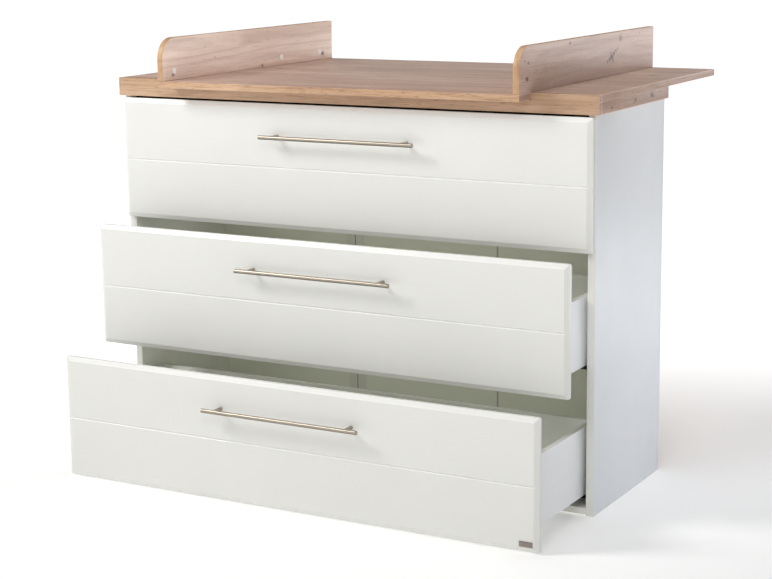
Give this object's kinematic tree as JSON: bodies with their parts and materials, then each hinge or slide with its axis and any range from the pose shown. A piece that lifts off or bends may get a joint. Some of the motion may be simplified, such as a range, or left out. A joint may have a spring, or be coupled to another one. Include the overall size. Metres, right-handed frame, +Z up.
{
  "type": "changing table",
  "caption": "Wide nursery dresser with soft-close drawers on concealed runners under an oak-look changing top with guard rails and a rear overhang.",
  "frame": {"origin": "on the floor, under the middle of the whole table's width and depth with the drawers at their rest openings", "axes": "+X along the width to the right of someone facing the drawers, +Y to the back, +Z up"},
  "size_m": [1.29, 1.048, 1.057],
  "materials": {
    "white_board": "white melamine-faced chipboard, fine satin grain",
    "white_front": "warm white foil on milled MDF, satin",
    "oak_board": "knotty oak decor on chipboard with oak edge band, matt",
    "drawer_board": "white paper-faced board, matt",
    "brushed_nickel": "brushed nickel, drawn along the bar",
    "runner_steel": "zinc-plated sheet steel",
    "cap_plastic": "white moulded cap"
  },
  "bodies": {
    "carcass": {"side_panel_left": "white_board", "side_panel_right": "white_board", "bottom_panel": "white_board", "front_cross_rail": "white_board", "rear_cross_rail": "white_board", "back_sheet_left": "drawer_board", "back_sheet_middle": "drawer_board", "back_sheet_right": "drawer_board", "changing_board": "oak_board", "front_lipping": "oak_board", "side_strip_left": "oak_board", "side_strip_right": "oak_board", "guard_rail_left": "oak_board", "guard_rail_right": "oak_board", "cam_left_1": "cap_plastic", "cam_left_2": "cap_plastic", "cam_left_3": "cap_plastic", "cam_right_1": "cap_plastic", "cam_right_2": "cap_plastic", "cam_right_3": "cap_plastic", "runner_1_cabinet_left": "runner_steel", "runner_1_cabinet_right": "runner_steel", "runner_2_cabinet_left": "runner_steel", "runner_2_cabinet_right": "runner_steel", "runner_3_cabinet_left": "runner_steel", "runner_3_cabinet_right": "runner_steel"},
    "drawer_1": {"drawer_1_front": "white_front", "drawer_1_side_left": "drawer_board", "drawer_1_side_right": "drawer_board", "drawer_1_back": "drawer_board", "drawer_1_floor": "drawer_board", "drawer_1_handle": "brushed_nickel", "runner_1_drawer_left": "runner_steel", "runner_1_drawer_right": "runner_steel"},
    "drawer_2": {"drawer_2_front": "white_front", "drawer_2_side_left": "drawer_board", "drawer_2_side_right": "drawer_board", "drawer_2_back": "drawer_board", "drawer_2_floor": "drawer_board", "drawer_2_handle": "brushed_nickel", "runner_2_drawer_left": "runner_steel", "runner_2_drawer_right": "runner_steel"},
    "drawer_3": {"drawer_3_front": "white_front", "drawer_3_side_left": "drawer_board", "drawer_3_side_right": "drawer_board", "drawer_3_back": "drawer_board", "drawer_3_floor": "drawer_board", "drawer_3_handle": "brushed_nickel", "drawer_3_plate": "brushed_nickel", "runner_3_drawer_left": "runner_steel", "runner_3_drawer_right": "runner_steel"},
    "slides_1": {"runner_1_slide_left": "runner_steel", "runner_1_slide_right": "runner_steel"},
    "slides_2": {"runner_2_slide_left": "runner_steel", "runner_2_slide_right": "runner_steel"},
    "slides_3": {"runner_3_slide_left": "runner_steel", "runner_3_slide_right": "runner_steel"}
  },
  "joints": [
    {"name": "drawer_1_pull", "type": "slide", "parent": "carcass", "child": "drawer_1", "axis": [0, -1, 0], "range_m": [0, 0.34]},
    {"name": "drawer_2_pull", "type": "slide", "parent": "carcass", "child": "drawer_2", "axis": [0, -1, 0], "range_m": [-0.118, 0.222]},
    {"name": "drawer_3_pull", "type": "slide", "parent": "carcass", "child": "drawer_3", "axis": [0, -1, 0], "range_m": [-0.27, 0.07]},
    {"name": "slides_1_travel", "type": "slide", "parent": "carcass", "child": "slides_1", "axis": [0, -1, 0], "range_m": [0, 0.17]},
    {"name": "slides_2_travel", "type": "slide", "parent": "carcass", "child": "slides_2", "axis": [0, -1, 0], "range_m": [-0.059, 0.111]},
    {"name": "slides_3_travel", "type": "slide", "parent": "carcass", "child": "slides_3", "axis": [0, -1, 0], "range_m": [-0.135, 0.035]}
  ],
  "couplings": [
    {"joint": "slides_1_travel", "follows": "drawer_1_pull", "ratio": 0.5},
    {"joint": "slides_2_travel", "follows": "drawer_2_pull", "ratio": 0.5},
    {"joint": "slides_3_travel", "follows": "drawer_3_pull", "ratio": 0.5}
  ]
}
